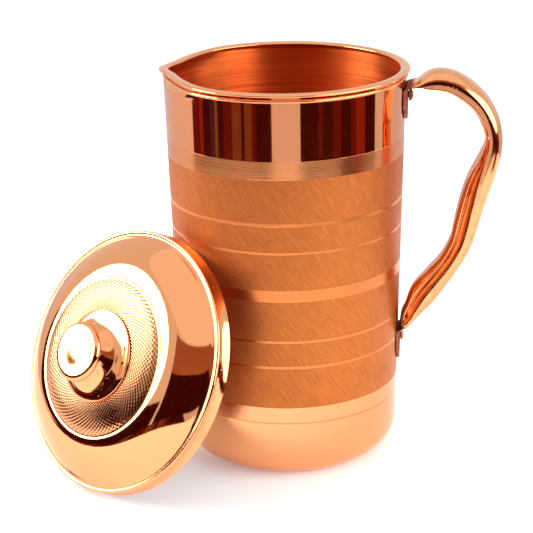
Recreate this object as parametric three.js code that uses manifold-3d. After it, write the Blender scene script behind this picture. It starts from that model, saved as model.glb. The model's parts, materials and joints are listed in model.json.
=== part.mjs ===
// Copper water jug with a loose cap lid. Millimetres, +Z up.
// Origin: centre of the flat base. The handle stands at +X, the pouring lip at -X.
// The lid leans on the jug and on the ground, at the jug's front left.
import * as THREE from "three";
import { mergeVertices } from "three/addons/utils/BufferGeometryUtils.js";
import Module from "manifold-3d";

const SHEET = 0.8; // copper sheet of the jug and lid
const GAP = 0.3; // clearance left between pieces that touch
const AROUND = 66; // facets round the jug
const LID_AROUND = 60; // facets round the lid

// Jug
const JUG_HEIGHT = 183.4;
const WALL_TOP_Z = 175.4; // the wall is measured here and at WALL_LOW_Z
const WALL_TOP_R = 55;
const WALL_LOW_Z = 15.1;
const WALL_LOW_R = 50.85;
const CORNER_R = 15.1; // rounding between wall and base
const RIDGE_Z = 179.9; // thin ridge under the rolled rim
const RIDGE_OUT = 0.9;
const RIDGE_HALF = 0.8;
const RIM_Z = 182.4; // middle of the rolled rim
const RIM_HALF = 1; // half its height
const RIM_IN_R = 52.4;
const RIM_OUT_R = 57;

// Pouring lip: both sides are pressed in, which leaves a small beak
const LIP_ANGLE = 183.5; // degrees round from +X
const LIP_TIP_OUT = 0.5;
const LIP_TIP_SPREAD = 5; // degrees
const LIP_PINCH = 2.95;
const LIP_PINCH_FULL = 17; // degrees from the beak where the pressing is deepest
const LIP_PINCH_EASES = 24; // from here it eases off
const LIP_PINCH_ENDS = 60;
const LIP_FOOT_Z = 171; // the pressing fades out at this height
const LIP_CROWD = 0.6; // crowds the facets towards the beak

// Handle: [x, z, thickness, width, share of the grip plate] down the hollow grip
const GRIP_STATIONS = [
  [58.4, 176, 1.7, 18, 0.1],
  [60.6, 176.5, 2.4, 18.2, 0.1],
  [62.8, 177.2, 4.6, 18.5, 0.12],
  [66, 178, 7.4, 18.8, 0.14],
  [70.5, 178.3, 8.9, 19, 0.15],
  [76.5, 176.9, 9, 19, 0.16],
  [83, 172.9, 8.8, 18.8, 0.18],
  [88.8, 167.2, 8.4, 18.5, 0.2],
  [93.1, 159.2, 8.2, 18.2, 0.22],
  [94.9, 150, 8.1, 18, 0.24],
  [92.6, 140.6, 10.5, 18, 0.32],
  [88.9, 131.1, 12.4, 18, 0.45],
  [85.8, 121.6, 12.4, 17.9, 0.54],
  [83.2, 111.4, 12, 17.7, 0.57],
  [80.6, 101.7, 11.2, 17.4, 0.57],
  [75.6, 92, 10.8, 17, 0.56],
  [69.5, 83.7, 12, 16.5, 0.56],
  [63.5, 76, 12.6, 16, 0.58],
  [59.4, 69.4, 9.4, 15.6, 0.62],
  [57, 65.3, 7.6, 15.4, 0.66],
  [54.9, 61.2, 4.4, 15.2, 0.7],
];
const STRAP = 1; // thickness of the handle sheet
const UPPER_TAB_WIDTH = 20;
const LOWER_TAB_WIDTH = 16.4;
const TAB_ROUND = 9; // length of the rounded end of a tab
const UPPER_TAB_TIP_Z = 159.8;
const LOWER_TAB_TIP_Z = 43.6;
const ARCH_STEPS = 8; // facets across a shell
const STEPS_PER_STATION = 2;

// Rivets
const UPPER_RIVET_Z = 170.8;
const LOWER_RIVET_Z = 54.4;
const UPPER_HEAD_R = 3;
const UPPER_HEAD_HEIGHT = 1.9;
const LOWER_HEAD_R = 2.4;
const LOWER_HEAD_HEIGHT = 1.3;
const SHANK_R = 1.5;
const HOLE_R = 1.8;
const BURR_R = 3.6;
const BURR_THICK = 0.8;
const PEEN_R = 2.4;
const PEEN_HEIGHT = 0.8;

// Lid, in its own frame: Z along the knob's axis, origin at the middle of the edge bead
const LID_CENTRE = [-71.04, -50.22, 57.74];
const LID_FACES = 231.6; // degrees round from +X
const LID_LEANS_BACK = 25; // degrees
const BEAD_R = 60.2;
const BEAD_HALF = 0.9;
const BAND_TOP_R = 59.6;
const BAND_LOW_R = 60.5;
const BAND_DEPTH = 6.4;
const SHOULDER_R = 57.2;
const CREASE_R = 37;
const CREASE_H = 12.5;
const RING_R = 21; // outer radius of the knob's foot
const RING_H = 15.8;
const NECK_R = 8.6;
const NECK_H = 22.6;
const CAP_R = 13.4;
const CAP_TOP_H = 28.6;
const STUD_R = 1.8;
const STUD_HOLE_R = 2.2;

const wasm = await Module();
wasm.setup();

function wallRadius(z) {
  const slope = (WALL_LOW_R - WALL_TOP_R) / (WALL_TOP_Z - WALL_LOW_Z);
  return WALL_TOP_R + slope * (WALL_TOP_Z - z);
}

function copper(color, roughness) {
  return new THREE.MeshStandardMaterial({ color, roughness, metalness: 1 });
}

const POLISHED = copper(0xd9895b, 0.12);
const BRUSHED = copper(0xc8743f, 0.35);
const DULL = copper(0xa85a35, 0.5);

function v2(x, y) {
  return new THREE.Vector2(x, y);
}

// A closed half section turned about Z
function turned(points, around) {
  const geometry = new THREE.LatheGeometry(points, around);
  geometry.rotateX(Math.PI / 2);
  return geometry;
}

function welded(geometry) {
  const bare = geometry.clone();
  bare.deleteAttribute("normal");
  bare.deleteAttribute("uv");
  return mergeVertices(bare, 1e-4);
}

function solidOf(geometry) {
  const bare = welded(geometry);
  return new wasm.Manifold(
    new wasm.Mesh({
      numProp: 3,
      vertProperties: new Float32Array(bare.attributes.position.array),
      triVerts: new Uint32Array(bare.index.array),
    }),
  );
}

function geometryOf(solid) {
  const mesh = solid.getMesh();
  const geometry = new THREE.BufferGeometry();
  const positions = new Float32Array(mesh.vertProperties);
  geometry.setAttribute("position", new THREE.BufferAttribute(positions, 3));
  geometry.setIndex(new THREE.BufferAttribute(new Uint32Array(mesh.triVerts), 1));
  geometry.computeVertexNormals();
  return geometry;
}

// Drills holes along X at the given heights, through everything at positive X
function drilled(geometry, heights) {
  let solid = solidOf(geometry);
  for (const z of heights) {
    const drill = new THREE.CylinderGeometry(HOLE_R, HOLE_R, 30, 16);
    drill.rotateZ(Math.PI / 2);
    drill.translate(wallRadius(z), 0, z);
    solid = solid.subtract(solidOf(drill));
  }
  return geometryOf(solid);
}

function piece(name, geometry, material) {
  const mesh = new THREE.Mesh(geometry, material);
  mesh.name = name;
  return mesh;
}

// ---- Jug body ----

function cornerArc(radius, centreR, centreZ, steps) {
  const points = [];
  for (let i = 0; i <= steps; i += 1) {
    const a = (i / steps) * (Math.PI / 2) * 0.985;
    const r = centreR + radius * Math.sin(a);
    points.push(v2(r, centreZ - radius * Math.cos(a)));
  }
  return points;
}

function jugSection() {
  const centreR = WALL_LOW_R - CORNER_R;
  const ridgeR = wallRadius(RIDGE_Z);
  const rimMid = (RIM_IN_R + RIM_OUT_R) / 2;
  const rimSpan = (RIM_OUT_R - RIM_IN_R) / 2;
  const outside = [
    v2(0, 0),
    ...cornerArc(CORNER_R, centreR, CORNER_R, 5),
    v2(wallRadius(LIP_FOOT_Z), LIP_FOOT_Z),
    v2(wallRadius(175), 175),
    v2(ridgeR, RIDGE_Z - RIDGE_HALF),
    v2(ridgeR + RIDGE_OUT, RIDGE_Z - RIDGE_HALF / 2),
    v2(ridgeR + RIDGE_OUT, RIDGE_Z + RIDGE_HALF / 2),
    v2(ridgeR, RIDGE_Z + RIDGE_HALF),
    v2(ridgeR, RIM_Z - RIM_HALF),
  ];
  const rim = [
    v2(RIM_OUT_R - 0.5, RIM_Z - RIM_HALF),
    v2(RIM_OUT_R, RIM_Z - RIM_HALF * 0.35),
    v2(RIM_OUT_R, RIM_Z + RIM_HALF * 0.35),
    v2(RIM_OUT_R - 0.7, RIM_Z + RIM_HALF * 0.85),
    v2(rimMid + rimSpan * 0.3, JUG_HEIGHT),
    v2(rimMid - rimSpan * 0.3, JUG_HEIGHT),
    v2(RIM_IN_R + 0.7, RIM_Z + RIM_HALF * 0.85),
    v2(RIM_IN_R, RIM_Z + RIM_HALF * 0.3),
    v2(RIM_IN_R + 0.2, RIM_Z - RIM_HALF * 0.7),
    v2(wallRadius(RIM_Z) - SHEET, RIM_Z - RIM_HALF - 0.8),
  ];
  const inside = [
    v2(wallRadius(175) - SHEET, 175),
    v2(wallRadius(LIP_FOOT_Z) - SHEET, LIP_FOOT_Z),
    ...cornerArc(CORNER_R - SHEET, centreR, CORNER_R, 5).reverse(),
    v2(0, SHEET),
  ];
  return [...outside, ...rim, ...inside];
}

// How far the lip pressing moves the sheet in or out, by degrees from the beak
function lipShift(degrees) {
  const off = Math.abs(degrees);
  const tip = LIP_TIP_OUT * Math.exp(-((off / LIP_TIP_SPREAD) ** 2));
  const deepens = THREE.MathUtils.smoothstep(off, 0, LIP_PINCH_FULL);
  const eases = THREE.MathUtils.smoothstep(off, LIP_PINCH_EASES, LIP_PINCH_ENDS);
  return tip - LIP_PINCH * deepens * (1 - eases);
}

function lipStrength(z) {
  return THREE.MathUtils.smoothstep(z, LIP_FOOT_Z, RIM_Z - RIM_HALF);
}

// The ridge under the rim dies away towards the beak
function ridgeFade(degrees, radius, z) {
  const onRidge = Math.abs(z - RIDGE_Z) < RIDGE_HALF && radius > wallRadius(RIDGE_Z) + RIDGE_OUT / 2;
  const flat = 1 - THREE.MathUtils.smoothstep(Math.abs(degrees), 8, 26);
  return onRidge ? RIDGE_OUT * 0.7 * flat : 0;
}

// Crowds the facets round the beak, then presses the lip into the top of the wall
function pressLip(geometry) {
  const position = geometry.attributes.position;
  for (let i = 0; i < position.count; i += 1) {
    const x = position.getX(i);
    const y = position.getY(i);
    const z = position.getZ(i);
    const radius = Math.hypot(x, y);
    const even = Math.atan2(y, x);
    const off = even - LIP_CROWD * Math.sin(even);
    const degrees = THREE.MathUtils.radToDeg(off);
    const shift = lipShift(degrees) * lipStrength(z) - ridgeFade(degrees, radius, z);
    const angle = off + THREE.MathUtils.degToRad(LIP_ANGLE);
    const pressed = radius > 40 ? radius + shift : radius;
    position.setXY(i, pressed * Math.cos(angle), pressed * Math.sin(angle));
  }
  return geometry;
}

function jugBody() {
  const shell = pressLip(turned(jugSection(), AROUND));
  return piece("jug_body", drilled(shell, [UPPER_RIVET_Z, LOWER_RIVET_Z]), BRUSHED);
}

// ---- Handle ----

// A row says where one section of a handle shell stands: its middle, its outward
// direction, half width, arch height, sheet thickness and how much it hugs the wall
function tabRow(z, width) {
  const lift = wallRadius(z) + GAP;
  return { x: lift, z, nx: 1, nz: 0, half: width / 2, rise: STRAP, hug: 1 };
}

function gripCurve() {
  const points = GRIP_STATIONS.map((s) => new THREE.Vector3(s[0], s[1], s[2]));
  return new THREE.CatmullRomCurve3(points, false, "catmullrom", 0.5);
}

// Value of a station's column at a share of the way down the grip
function stationValue(t, column) {
  const place = t * (GRIP_STATIONS.length - 1);
  const low = Math.min(Math.floor(place), GRIP_STATIONS.length - 2);
  const share = place - low;
  return GRIP_STATIONS[low][column] * (1 - share) + GRIP_STATIONS[low + 1][column] * share;
}

function gripFrames() {
  const curve = gripCurve();
  const count = (GRIP_STATIONS.length - 1) * STEPS_PER_STATION;
  const frames = [];
  for (let i = 0; i <= count; i += 1) {
    const t = i / count;
    const point = curve.getPoint(t);
    const ahead = curve.getPoint(Math.min(1, t + 0.01));
    const behind = curve.getPoint(Math.max(0, t - 0.01));
    const along = new THREE.Vector2(ahead.x - behind.x, ahead.y - behind.y).normalize();
    frames.push({
      x: point.x,
      z: point.y,
      nx: -along.y,
      nz: along.x,
      thick: point.z,
      half: stationValue(t, 3) / 2,
      seam: stationValue(t, 4),
    });
  }
  return frames;
}

// Rounded arch section: outer points one way, inner points back
function archSection(row, side) {
  const ring = [];
  const place = (y, n) => {
    const hug = (row.hug * y * y) / (2 * row.x);
    const x = row.x + row.nx * n * side - hug;
    ring.push(new THREE.Vector3(x, y, row.z + row.nz * n * side));
  };
  const power = (value, exponent) => Math.sign(value) * Math.abs(value) ** exponent;
  const arch = (half, rise, floor) => {
    const points = [];
    for (let i = 0; i <= ARCH_STEPS; i += 1) {
      const a = (i / ARCH_STEPS) * Math.PI;
      const y = half * power(Math.cos(a), 0.8);
      points.push([y, floor + (rise - floor) * Math.sin(a) ** 0.62]);
    }
    return points;
  };
  const outer = arch(row.half, row.rise, 0);
  const inner = arch(row.half - STRAP, row.rise - STRAP, 0).reverse();
  for (const [y, n] of outer) {
    place(y, n);
  }
  for (const [y, n] of inner) {
    place(y, n);
  }
  return side > 0 ? ring.reverse() : ring;
}

// Joins a row of equal rings into one closed solid
function loft(rings) {
  const count = rings[0].length;
  const points = rings.flat();
  const faces = [];
  for (let i = 0; i < rings.length - 1; i += 1) {
    for (let j = 0; j < count; j += 1) {
      const a = i * count + j;
      const b = i * count + ((j + 1) % count);
      faces.push(a, a + count, b, b, a + count, b + count);
    }
  }
  const steps = count / 2 - 1;
  const last = (rings.length - 1) * count;
  for (let j = 0; j < steps; j += 1) {
    const a = j;
    const b = j + 1;
    const c = count - 2 - j;
    const d = count - 1 - j;
    faces.push(a, b, c, a, c, d);
    faces.push(last + a, last + c, last + b, last + a, last + d, last + c);
  }
  const geometry = new THREE.BufferGeometry();
  geometry.setFromPoints(points);
  geometry.setIndex(faces);
  return geometry;
}

// Rows of a tab with a rounded end, from its root down to its tip
function tabRows(rootZ, tipZ, width) {
  const shares = [1, 0.82, 0.62, 0.42, 0.25, 0.12, 0.04, 0];
  return shares.map((s) => {
    const z = tipZ + s * (rootZ - tipZ);
    const off = 1 - Math.min((z - tipZ) / TAB_ROUND, 1);
    return tabRow(z, Math.max(2.4, width * Math.sqrt(1 - off * off)));
  });
}

function upperTabRows() {
  const rows = tabRows(174.2, UPPER_TAB_TIP_Z, UPPER_TAB_WIDTH).reverse();
  const bend = { x: wallRadius(175.2) + 0.6, z: 175.1, nx: 0.75, nz: 0.66, half: 9.2, rise: 1.05 };
  return [...rows, { ...bend, hug: 0.7 }];
}

function outerShell() {
  const body = gripFrames().map((f) => {
    const low = f.thick * (f.seam - 0.5) + GAP / 2;
    const rise = f.thick / 2 - low;
    const x = f.x + f.nx * low;
    return { x, z: f.z + f.nz * low, nx: f.nx, nz: f.nz, half: f.half, rise, hug: 0 };
  });
  const lowerTab = tabRows(58.6, LOWER_TAB_TIP_Z, LOWER_TAB_WIDTH);
  const rings = [...upperTabRows(), ...body, ...lowerTab].map((r) => archSection(r, 1));
  const geometry = drilled(loft(rings), [UPPER_RIVET_Z, LOWER_RIVET_Z]);
  return piece("handle_outer_shell", geometry, POLISHED);
}

function gripPlate() {
  const frames = gripFrames().slice(4);
  const rings = frames.map((f) => {
    const high = f.thick * (f.seam - 0.5) - GAP / 2;
    const rise = f.thick / 2 + high;
    const x = f.x + f.nx * high;
    const row = { x, z: f.z + f.nz * high, nx: f.nx, nz: f.nz, half: f.half, rise, hug: 0 };
    return archSection(row, -1);
  });
  return piece("handle_grip_plate", loft(rings), POLISHED);
}

// ---- Rivets: drawn along +Z, turned to point along +X, with the wall's face at 0 ----

function rivet(name, z, headR, height) {
  const under = GAP + STRAP + GAP;
  const inner = -SHEET - GAP - BURR_THICK - GAP;
  const section = [
    v2(0, inner - PEEN_HEIGHT),
    v2(PEEN_R * 0.6, inner - PEEN_HEIGHT),
    v2(PEEN_R, inner - PEEN_HEIGHT * 0.4),
    v2(PEEN_R, inner),
    v2(SHANK_R, inner),
    v2(SHANK_R, under),
    v2(headR, under),
    v2(headR * 0.94, under + height * 0.4),
    v2(headR * 0.72, under + height * 0.75),
    v2(headR * 0.4, under + height * 0.95),
    v2(0, under + height),
  ];
  const geometry = turned(section, 20);
  geometry.rotateY(Math.PI / 2);
  const mesh = piece(name, geometry, POLISHED);
  mesh.position.set(wallRadius(z), 0, z);
  return mesh;
}

function burr(name, z) {
  const face = -SHEET - GAP;
  const section = [
    v2(HOLE_R, face - BURR_THICK),
    v2(BURR_R, face - BURR_THICK),
    v2(BURR_R, face),
    v2(HOLE_R, face),
    v2(HOLE_R, face - BURR_THICK),
  ];
  const geometry = turned(section, 20);
  geometry.rotateY(Math.PI / 2);
  const mesh = piece(name, geometry, DULL);
  mesh.position.set(wallRadius(z), 0, z);
  return mesh;
}

// ---- Lid ----

function shoulder(offset, steps) {
  const points = [];
  for (let i = 0; i <= steps; i += 1) {
    const u = i / steps;
    const r = SHOULDER_R + (CREASE_R - SHOULDER_R) * u;
    const h = 1 + (CREASE_H - 1) * Math.sin((u * Math.PI) / 2) ** 0.85;
    points.push(v2(r, h + offset));
  }
  return points;
}

function lidCover() {
  const bead = [
    v2(BEAD_R - 2.2, -BEAD_HALF),
    v2(BEAD_R - 0.6, -BEAD_HALF),
    v2(BEAD_R, -BEAD_HALF * 0.35),
    v2(BEAD_R, BEAD_HALF * 0.35),
    v2(BEAD_R - 0.6, BEAD_HALF),
    v2(BEAD_R - 1.8, BEAD_HALF),
    v2(SHOULDER_R + 0.8, 0.6),
  ];
  const top = [
    ...shoulder(0, 6),
    v2(CREASE_R - 0.8, CREASE_H - 0.3),
    v2(CREASE_R - 1.6, CREASE_H + 0.2),
    v2(29, CREASE_H + 1.6),
    v2(RING_R, RING_H - 0.9),
    v2(STUD_HOLE_R, RING_H - 0.9),
  ];
  const under = [
    v2(STUD_HOLE_R, RING_H - 0.9 - SHEET),
    v2(RING_R, RING_H - 0.9 - SHEET),
    v2(29, CREASE_H + 1.6 - SHEET),
    v2(CREASE_R - 1.6, CREASE_H + 0.2 - SHEET),
    v2(CREASE_R - 0.8, CREASE_H - 0.3 - SHEET),
    ...shoulder(-SHEET, 6).reverse(),
    v2(SHOULDER_R + 0.4, -BEAD_HALF),
  ];
  const section = [...bead, ...top, ...under, bead[0]];
  return piece("lid_cover", turned(section, LID_AROUND), POLISHED);
}

function lidBand() {
  const top = -BEAD_HALF - GAP;
  const section = [
    v2(BAND_LOW_R - SHEET, -BAND_DEPTH),
    v2(BAND_LOW_R, -BAND_DEPTH),
    v2(BAND_TOP_R, top),
    v2(BAND_TOP_R - SHEET, top),
    v2(BAND_LOW_R - SHEET, -BAND_DEPTH),
  ];
  return piece("lid_skirt_band", turned(section, LID_AROUND), POLISHED);
}

function knobFoot() {
  const outside = [
    v2(RING_R - SHEET, RING_H - 0.9 + GAP),
    v2(RING_R, RING_H - 0.9 + GAP),
    v2(RING_R - 0.4, RING_H + 0.3),
    v2(17, RING_H + 0.9),
    v2(13.2, RING_H + 2.2),
    v2(10.4, RING_H + 4.3),
    v2(NECK_R, NECK_H),
  ];
  const inside = [
    v2(STUD_HOLE_R, NECK_H),
    v2(STUD_HOLE_R, NECK_H - SHEET),
    v2(NECK_R - SHEET, NECK_H - SHEET),
    v2(10.4 - SHEET, RING_H + 3.9),
    v2(13.2 - SHEET, RING_H + 1.6),
    v2(17 - SHEET * 0.5, RING_H + 0.1),
    v2(RING_R - SHEET, RING_H - 0.9 + GAP),
  ];
  return piece("knob_foot", turned([...outside, ...inside], 36), POLISHED);
}

function knobCap() {
  const low = NECK_H + GAP;
  const section = [
    v2(STUD_HOLE_R, low),
    v2(9.2, low),
    v2(10.2, low + 0.9),
    v2(12.2, low + 1.8),
    v2(CAP_R, low + 3.2),
    v2(CAP_R - 0.1, CAP_TOP_H - 1.6),
    v2(CAP_R - 0.8, CAP_TOP_H - 0.4),
    v2(CAP_R - 2.4, CAP_TOP_H),
    v2(0, CAP_TOP_H),
    v2(0, CAP_TOP_H - SHEET),
    v2(CAP_R - 2.6, CAP_TOP_H - SHEET),
    v2(CAP_R - 1.2, CAP_TOP_H - 1.9),
    v2(CAP_R - 1, low + 3.4),
    v2(11.2, low + 2.2),
    v2(9.4, low + 1.6),
    v2(8.8, low + SHEET),
    v2(STUD_HOLE_R, low + SHEET),
    v2(STUD_HOLE_R, low),
  ];
  return piece("knob_cap", turned(section, 36), POLISHED);
}

function knobStud() {
  const top = NECK_H + GAP + SHEET + GAP;
  const under = RING_H - 0.9 - SHEET - GAP - BURR_THICK - GAP;
  const section = [
    v2(0, under - 1.2),
    v2(3, under - 1.2),
    v2(3.6, under - 0.5),
    v2(3.6, under),
    v2(STUD_R, under),
    v2(STUD_R, top),
    v2(3.4, top),
    v2(3.2, top + 0.8),
    v2(0, top + 1.1),
  ];
  return piece("knob_stud", turned(section, 20), DULL);
}

function knobWasher() {
  const face = RING_H - 0.9 - SHEET - GAP;
  const section = [
    v2(STUD_HOLE_R, face - BURR_THICK),
    v2(6, face - BURR_THICK),
    v2(6, face),
    v2(STUD_HOLE_R, face),
    v2(STUD_HOLE_R, face - BURR_THICK),
  ];
  return piece("knob_washer", turned(section, 24), DULL);
}

function lid() {
  const group = new THREE.Group();
  group.add(lidCover(), lidBand(), knobFoot(), knobCap(), knobStud(), knobWasher());
  const turn = THREE.MathUtils.degToRad(LID_FACES);
  const lean = THREE.MathUtils.degToRad(LID_LEANS_BACK);
  const axis = new THREE.Vector3(
    Math.cos(turn) * Math.cos(lean),
    Math.sin(turn) * Math.cos(lean),
    Math.sin(lean),
  );
  group.quaternion.setFromUnitVectors(new THREE.Vector3(0, 0, 1), axis);
  group.position.set(...LID_CENTRE);
  return group;
}

const jug = new THREE.Group();
jug.add(
  jugBody(),
  outerShell(),
  gripPlate(),
  rivet("upper_rivet", UPPER_RIVET_Z, UPPER_HEAD_R, UPPER_HEAD_HEIGHT),
  rivet("lower_rivet", LOWER_RIVET_Z, LOWER_HEAD_R, LOWER_HEAD_HEIGHT),
  burr("upper_rivet_burr", UPPER_RIVET_Z),
  burr("lower_rivet_burr", LOWER_RIVET_Z),
  lid(),
);

export default jug;
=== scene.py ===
# Looks of the copper water jug with its loose lid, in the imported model's own frame.
# The object's lengths are in millimetres until a mesh is made, the studio's in metres.
import json
import math

import bmesh
import bpy
from mathutils import Matrix, Vector, noise

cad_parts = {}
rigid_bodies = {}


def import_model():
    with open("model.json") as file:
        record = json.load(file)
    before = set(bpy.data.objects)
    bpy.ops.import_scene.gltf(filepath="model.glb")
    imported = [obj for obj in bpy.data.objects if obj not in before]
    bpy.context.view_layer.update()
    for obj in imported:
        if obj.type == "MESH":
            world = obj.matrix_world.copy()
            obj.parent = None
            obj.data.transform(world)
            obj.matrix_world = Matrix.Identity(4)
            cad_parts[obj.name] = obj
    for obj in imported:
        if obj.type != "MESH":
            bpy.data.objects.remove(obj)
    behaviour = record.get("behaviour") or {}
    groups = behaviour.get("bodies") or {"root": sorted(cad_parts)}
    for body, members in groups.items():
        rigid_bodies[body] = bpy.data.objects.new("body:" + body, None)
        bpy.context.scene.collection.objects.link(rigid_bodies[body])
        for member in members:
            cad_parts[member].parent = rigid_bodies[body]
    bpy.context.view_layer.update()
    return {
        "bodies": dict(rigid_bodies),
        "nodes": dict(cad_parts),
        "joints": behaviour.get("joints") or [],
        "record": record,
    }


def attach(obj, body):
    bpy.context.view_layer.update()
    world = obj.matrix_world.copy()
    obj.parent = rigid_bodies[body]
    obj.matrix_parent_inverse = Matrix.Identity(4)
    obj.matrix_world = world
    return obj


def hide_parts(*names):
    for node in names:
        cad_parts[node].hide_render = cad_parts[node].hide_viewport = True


MM = 0.001

# Jug
WALL_TOP_Z = 175.4
WALL_TOP_R = 55.0
WALL_LOW_Z = 15.1
WALL_LOW_R = 50.85
SHEET = 0.8
GAP = 0.3
CORNER_R = 15.1
RIDGE_Z = 179.9
RIDGE_OUT = 0.9
RIDGE_HALF = 0.8
RIM_Z = 182.4
RIM_HALF = 0.97
RIM_IN_R = 52.4
RIM_OUT_R = 56.92
JUG_AROUND = 264
RIM_ROWS_INSIDE = 4  # last rows of the rim's curl, which have the inside's finish

# Finish up the wall: height of the middle and half the width of each band
MATT_BAND = (90.95, 53.95)
SATIN_LINES = ((91.05, 2.75), (124.25, 0.75), (111.15, 0.55), (69.1, 0.6), (56.75, 0.65))
UPPER_LATHE_BAND = (149.0, 4.1)
LOWER_LATHE_BAND = (33.25, 3.75)
THIN_LINE = (29.3, 0.2)
UNROLL_R = 53.0  # turns an angle round the wall into a length along it

# Pouring lip
LIP_ANGLE = 183.5
LIP_TIP_OUT = 0.5
LIP_TIP_SPREAD = 5.0
LIP_PINCH = 2.95
LIP_PINCH_FULL = 17.0
LIP_PINCH_EASES = 24.0
LIP_PINCH_ENDS = 60.0
LIP_FOOT_Z = 177.6
LIP_CROWD = 0.6
LIP_RIDGE_SHARE = 0.7  # how much of the ridge the beak flattens
LIP_RIDGE_FULL = 3.0
LIP_RIDGE_ENDS = 12.0

# Handle: x, z, thickness, width, share of the grip plate. The places and thicknesses were
# measured off the photograph, then rounded and partly changed.
GRIP_STATIONS = [
    (58.4, 176, 1.7, 18, 0.1),
    (60.6, 176.5, 2.4, 18.2, 0.1),
    (62.8, 177.2, 4.6, 18.5, 0.12),
    (66, 178, 7.4, 18.8, 0.14),
    (70.5, 178.3, 8.9, 19, 0.15),
    (76.5, 176.9, 9, 19, 0.16),
    (83, 172.9, 8.8, 18.8, 0.18),
    (88.8, 167.2, 8.4, 18.5, 0.2),
    (93.1, 159.2, 8.2, 18.2, 0.22),
    (94.9, 150, 8.1, 18, 0.24),
    (92.6, 140.6, 10.5, 18, 0.32),
    (88.9, 131.1, 12.4, 18, 0.45),
    (85.8, 121.6, 12.4, 17.9, 0.54),
    (83.2, 111.4, 12, 17.7, 0.57),
    (80.6, 101.7, 11.2, 17.4, 0.57),
    (75.6, 92, 10.8, 17, 0.56),
    (69.5, 83.7, 12, 16.5, 0.56),
    (63.5, 76, 12.6, 16, 0.58),
    (59.4, 69.4, 9.4, 15.6, 0.62),
    (57, 65.3, 7.6, 15.4, 0.66),
    (54.9, 61.2, 4.4, 15.2, 0.7),
]
ROWS_PER_STATION = 5
PLATE_FIRST_STATION = 2
ARCH_STEPS = 44
ARCH_ACROSS = 0.8  # powers under 1 make the arch across the handle fuller than an ellipse
ARCH_UP = 0.62
GROOVE_AT = 0.42  # finger groove's place and width, in shares of the arch's height
GROOVE_WIDTH = 0.17
GROOVE_DEPTH = 0.3
GROOVE_BEGINS = (0.36, 0.5)  # shares of the way down the grip
GROOVE_ENDS = (0.93, 1.0)
STRAP = 1.0
UPPER_TAB_WIDTH = 20.0
LOWER_TAB_WIDTH = 16.4
TAB_ROUND = 9.0
TAB_TIP_WIDTH = 2.4
TAB_STEPS = 28
TAB_CROWD = 1.6
UPPER_TAB_ROOT_Z = 174.2
LOWER_TAB_ROOT_Z = 58.6
UPPER_TAB_TIP_Z = 159.8
LOWER_TAB_TIP_Z = 43.6
TABS_PART_Z = 120.0  # a height between the two tabs

# Rivets and washers
UPPER_RIVET_Z = 170.8
LOWER_RIVET_Z = 54.4
UPPER_HEAD = (3.0, 1.9)  # radius, height
LOWER_HEAD = (2.4, 1.3)
HEAD_EDGE = 0.15
SHANK_R = 1.5
PEEN_R = 2.4
PEEN_H = 0.8
WASHER = 0.8
WASHER_R = 3.6
WASHER_HOLE_R = 1.8
RIVET_AROUND = 48

# Lid
LID_CENTRE = (-71.04, -50.22, 57.74)
LID_FACES = 231.6
LID_LEANS_BACK = 25.0
BEAD_R = 60.1
BEAD_HALF = 0.9
BAND_TOP_R = 59.6
BAND_LOW_R = 60.4
BAND_DEPTH = 6.4
SHOULDER_R = 57.2
CREASE_R = 37.0
CREASE_H = 12.5
RING_R = 21.0
RING_H = 15.8
NECK_R = 8.6
NECK_H = 22.6
CAP_R = 13.4
CAP_TOP_H = 28.6
STUD_R = 1.8
STUD_HOLE_R = 2.2
STUD_WASHER_R = 6
LID_AROUND = 240
KNOB_AROUND = 128
STUD_WASHER_AROUND = 64

# The engine-turned ring round the lid
TURNED_RING = (28.2, 7.2)  # middle radius, half width
TURNED_RING_LOW_H = 9.0
TURNED_CUTS = 84.0
TURNED_BEND = 1.25

# Camera
CAMERA_SPOT = (87.86, -796.42, 360.43)
CAMERA_TARGET = (-9.78, -1.2, 87.5)
CAMERA_ROLL = -1.067
CAMERA_LENS = 121.57

# Studio, in metres
FLOOR_HALF = 4
FLOOR_Z = -0.0002
FLAG_STEPS = 24
FLAG_GLOW = 0.35
FLOOR_FLAG_Z = 0.0012
FLOOR_FLAG_NEAR = 0.43
FLOOR_FLAG_NEARER = 0.34
FLOOR_FLAG_FAR = 3.2
LIGHTS_AIM = (0, 0, 0.1)
TOP_LIGHT_SPOT = (0.1, -0.2, 1.9)
WORLD_FOR_METAL = 0.85
WORLD_FOR_CAMERA = 1.2

# Linear base colours
COPPER = (0.93, 0.4, 0.175)
MATT = (0.58, 0.172, 0.044)
# inside's base colour: a deep red that paints the shade and inter-reflection of the jug's hollow
INSIDE_SHADE_RED = (0.97, 0.21, 0.045)
SATIN = (0.74, 0.235, 0.07)
# painted shade: the dark, dull colour given to the handle's tabs where they lie on the wall
PAINTED_TAB_SHADE = (0.12, 0.01, 0.005)


def smoothstep(x, low, high):
    t = min(max((x - low) / (high - low), 0.0), 1.0)
    return t * t * (3 - 2 * t)


def wall_radius(z):
    slope = (WALL_LOW_R - WALL_TOP_R) / (WALL_TOP_Z - WALL_LOW_Z)
    return WALL_TOP_R + slope * (WALL_TOP_Z - z)


# ---- Mesh helpers ----


def add_object(name, data):
    obj = bpy.data.objects.new(name, data)
    bpy.context.scene.collection.objects.link(obj)
    return obj


def make_mesh(name, points, faces, materials, face_slots=None, sharp=40):
    mesh = bpy.data.meshes.new(name)
    mesh.from_pydata([[c * MM for c in p] for p in points], [], faces)
    mesh.validate()
    for material in materials:
        mesh.materials.append(material)
    if face_slots:
        for polygon, slot in zip(mesh.polygons, face_slots):
            polygon.material_index = slot
    mesh.shade_smooth()
    mesh.set_sharp_from_angle(angle=math.radians(sharp))
    return add_object(name, mesh)


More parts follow.
